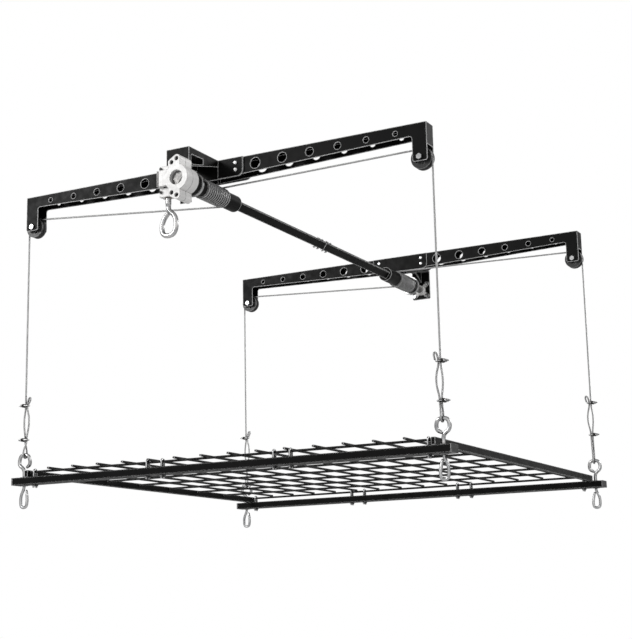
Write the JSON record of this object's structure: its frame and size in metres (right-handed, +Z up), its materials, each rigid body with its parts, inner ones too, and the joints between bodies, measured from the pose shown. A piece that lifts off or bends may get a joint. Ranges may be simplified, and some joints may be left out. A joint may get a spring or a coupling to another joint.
{
  "type": "ceiling storage lift",
  "caption": "Ceiling-mounted storage lift: two cross-beams, a cranked worm gearbox, a long drive shaft with cable drums, pulleys and a wire deck hung on cables.",
  "frame": {"origin": "centre of the four ceiling bolt holes, in the plane of the beam tops", "axes": "+Z up into the ceiling, +X along the cross-beams, +Y along the drive shaft from the gearbox to the rear bearing"},
  "size_m": [1.2192, 1.425, 0.8207],
  "materials": {
    "black_powder_coat": "black powder coat with light wear along the edges",
    "cast_aluminium": "pale die casting, satin",
    "zinc_plate": "bright zinc plate",
    "dark_clip": "blackened malleable iron",
    "wire_rope": "galvanised steel wire rope",
    "pulley_nylon": "black moulded nylon",
    "gear_steel": "plain machined steel",
    "bronze_bush": "sintered bronze",
    "cap_plastic": "black moulded plastic"
  },
  "bodies": {
    "ceiling_frame": {"front_left_arm": "black_powder_coat", "front_right_arm": "black_powder_coat", "rear_left_arm": "black_powder_coat", "rear_right_arm": "black_powder_coat", "front_mid_channel": "black_powder_coat", "rear_mid_channel": "black_powder_coat", "frame_rivets": "zinc_plate", "gearbox_bracket": "black_powder_coat", "rear_bearing_bracket": "black_powder_coat", "gearbox_front_cover": "cast_aluminium", "gearbox_rear_housing": "cast_aluminium", "gearbox_screws": "dark_clip", "worm_bushes": "bronze_bush", "rear_bearing": "cast_aluminium", "rear_bearing_bolts": "zinc_plate", "pulley_axles": "zinc_plate", "pulley_nuts": "zinc_plate", "cable_runs": "wire_rope", "cable_drops": "wire_rope"},
    "drive_shaft": {"drive_stub": "gear_steel", "worm_wheel": "gear_steel", "front_hub": "black_powder_coat", "drum_flanges": "zinc_plate", "front_drum": "black_powder_coat", "rear_drum": "black_powder_coat", "wound_cables": "wire_rope", "front_tube": "black_powder_coat", "rear_tube": "black_powder_coat", "tube_coupler": "gear_steel", "coupler_bolts": "zinc_plate", "rear_axle": "gear_steel", "rear_snap_ring": "zinc_plate"},
    "crank_worm": {"worm": "gear_steel", "crank_eye": "zinc_plate"},
    "deck": {"front_bar": "black_powder_coat", "rear_bar": "black_powder_coat", "bar_end_caps": "cap_plastic", "left_side_rail": "black_powder_coat", "right_side_rail": "black_powder_coat", "cross_wires": "black_powder_coat", "long_wires": "black_powder_coat", "deck_u_bolts": "zinc_plate", "u_bolt_nuts": "zinc_plate", "wire_saddles": "black_powder_coat"},
    "front_left_wheel": {"front_left_pulley": "pulley_nylon"},
    "front_left_swivel": {"front_left_hook": "zinc_plate", "front_left_cable_end": "wire_rope", "front_left_clips": "dark_clip"},
    "front_right_wheel": {"front_right_pulley": "pulley_nylon"},
    "front_right_swivel": {"front_right_hook": "zinc_plate", "front_right_cable_end": "wire_rope", "front_right_clips": "dark_clip"},
    "rear_left_wheel": {"rear_left_pulley": "pulley_nylon"},
    "rear_left_swivel": {"rear_left_hook": "zinc_plate", "rear_left_cable_end": "wire_rope", "rear_left_clips": "dark_clip"},
    "rear_right_wheel": {"rear_right_pulley": "pulley_nylon"},
    "rear_right_swivel": {"rear_right_hook": "zinc_plate", "rear_right_cable_end": "wire_rope", "rear_right_clips": "dark_clip"}
  },
  "joints": [
    {"name": "deck_lift", "type": "slide", "parent": "ceiling_frame", "child": "deck", "axis": [0, 0, 1], "range_m": [0, 0.36], "deforming": ["cable_drops"]},
    {"name": "shaft_turn", "type": "hinge", "parent": "ceiling_frame", "child": "drive_shaft", "pos_m": [0.018, 0, -0.09], "axis": [0, 1, 0], "range_deg": [-918.7, 0]},
    {"name": "crank_turn", "type": "hinge", "parent": "ceiling_frame", "child": "crank_worm", "pos_m": [-0.0175, -0.738, -0.09], "axis": [0, 0, 1], "range_deg": [0, 11919.5]},
    {"name": "front_left_pulley_turn", "type": "hinge", "parent": "ceiling_frame", "child": "front_left_wheel", "pos_m": [-0.559, -0.556, -0.082], "axis": [0, 1, 0], "range_deg": [0, 861.4]},
    {"name": "front_right_pulley_turn", "type": "hinge", "parent": "ceiling_frame", "child": "front_right_wheel", "pos_m": [0.559, -0.556, -0.082], "axis": [0, 1, 0], "range_deg": [-861.4, 0]},
    {"name": "rear_left_pulley_turn", "type": "hinge", "parent": "ceiling_frame", "child": "rear_left_wheel", "pos_m": [-0.559, 0.556, -0.082], "axis": [0, 1, 0], "range_deg": [0, 861.4]},
    {"name": "rear_right_pulley_turn", "type": "hinge", "parent": "ceiling_frame", "child": "rear_right_wheel", "pos_m": [0.559, 0.556, -0.082], "axis": [0, 1, 0], "range_deg": [-861.4, 0]},
    {"name": "front_left_hook_swivel", "type": "hinge", "parent": "deck", "child": "front_left_swivel", "pos_m": [-0.583, -0.556, -0.7416], "axis": [0, 0, 1], "range_deg": [-90, 90]},
    {"name": "front_right_hook_swivel", "type": "hinge", "parent": "deck", "child": "front_right_swivel", "pos_m": [0.583, -0.556, -0.7416], "axis": [0, 0, 1], "range_deg": [-90, 90]},
    {"name": "rear_left_hook_swivel", "type": "hinge", "parent": "deck", "child": "rear_left_swivel", "pos_m": [-0.583, 0.556, -0.7416], "axis": [0, 0, 1], "range_deg": [-90, 90]},
    {"name": "rear_right_hook_swivel", "type": "hinge", "parent": "deck", "child": "rear_right_swivel", "pos_m": [0.583, 0.556, -0.7416], "axis": [0, 0, 1], "range_deg": [-90, 90]}
  ],
  "couplings": [
    {"joint": "shaft_turn", "follows": "deck_lift", "rad_per_m": -44.444},
    {"joint": "crank_turn", "follows": "deck_lift", "rad_per_m": 577.78},
    {"joint": "front_left_pulley_turn", "follows": "deck_lift", "rad_per_m": 41.667},
    {"joint": "front_right_pulley_turn", "follows": "deck_lift", "rad_per_m": -41.667},
    {"joint": "rear_left_pulley_turn", "follows": "deck_lift", "rad_per_m": 41.667},
    {"joint": "rear_right_pulley_turn", "follows": "deck_lift", "rad_per_m": -41.667}
  ]
}
